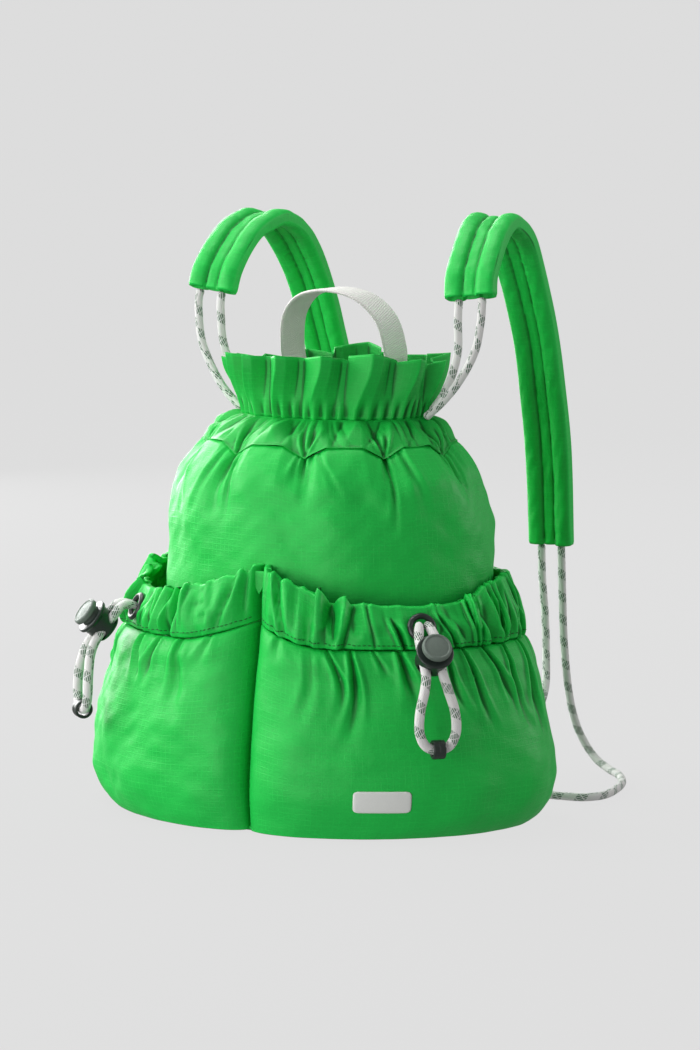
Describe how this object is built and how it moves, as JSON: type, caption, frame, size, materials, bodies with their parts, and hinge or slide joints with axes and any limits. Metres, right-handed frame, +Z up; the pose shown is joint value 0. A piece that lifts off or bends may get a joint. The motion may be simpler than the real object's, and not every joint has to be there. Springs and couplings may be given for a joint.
{
  "type": "mini backpack",
  "caption": "Small padded bucket backpack with gathered neck and frill, wrap-round elastic pockets with cord locks, webbing handle and padded straps on cords.",
  "frame": {"origin": "midway between the undersides of the two straps' highest places, where the straps rest on the shoulders", "axes": "+X is the wearer's right, -Y is the front with the seam between the pockets, +Z is up"},
  "size_m": [0.2532, 0.2457, 0.306],
  "materials": {
    "shell": "padded ripstop nylon, bright green, soft sheen",
    "trim": "single-layer ripstop nylon, bright green",
    "webbing": "off-white cotton webbing, ribbed",
    "cord": "off-white braided cord with a green tracer",
    "hardware": "black-green moulded plastic, fine grain",
    "patch": "plain pale heat-bonded patch"
  },
  "bodies": {
    "bag": {"bag_body": "shell", "base_panel": "trim", "neck_yoke": "trim", "ruffle_collar": "trim", "carry_handle": "webbing", "divider_tack": "trim", "plain_patch": "patch", "pocket_right": "shell", "pocket_left": "shell", "pocket_casing_right": "shell", "pocket_casing_left": "shell", "grommet_right": "hardware", "grommet_left": "hardware", "lock_body_right": "hardware", "lock_body_left": "hardware", "cord_clip_right": "hardware", "cord_clip_left": "hardware", "toggle_cord_right": "cord", "toggle_cord_left": "cord", "strap_right": "shell", "strap_left": "shell", "cord_tab_right": "webbing", "cord_tab_left": "webbing", "upper_cord_outer_right": "cord", "upper_cord_outer_left": "cord", "upper_cord_inner_right": "cord", "upper_cord_inner_left": "cord", "lower_cord_right": "cord", "lower_cord_left": "cord"},
    "button_right": {"lock_button_right": "hardware"},
    "button_left": {"lock_button_left": "hardware"}
  },
  "joints": [
    {"name": "press_right", "type": "slide", "parent": "bag", "child": "button_right", "axis": [-0.5314, 0.5819, -0.6157], "range_m": [0, 0.002], "stiffness_N_per_m": 400},
    {"name": "press_left", "type": "slide", "parent": "bag", "child": "button_left", "axis": [0.5314, 0.5819, -0.6157], "range_m": [0, 0.002], "stiffness_N_per_m": 400}
  ]
}
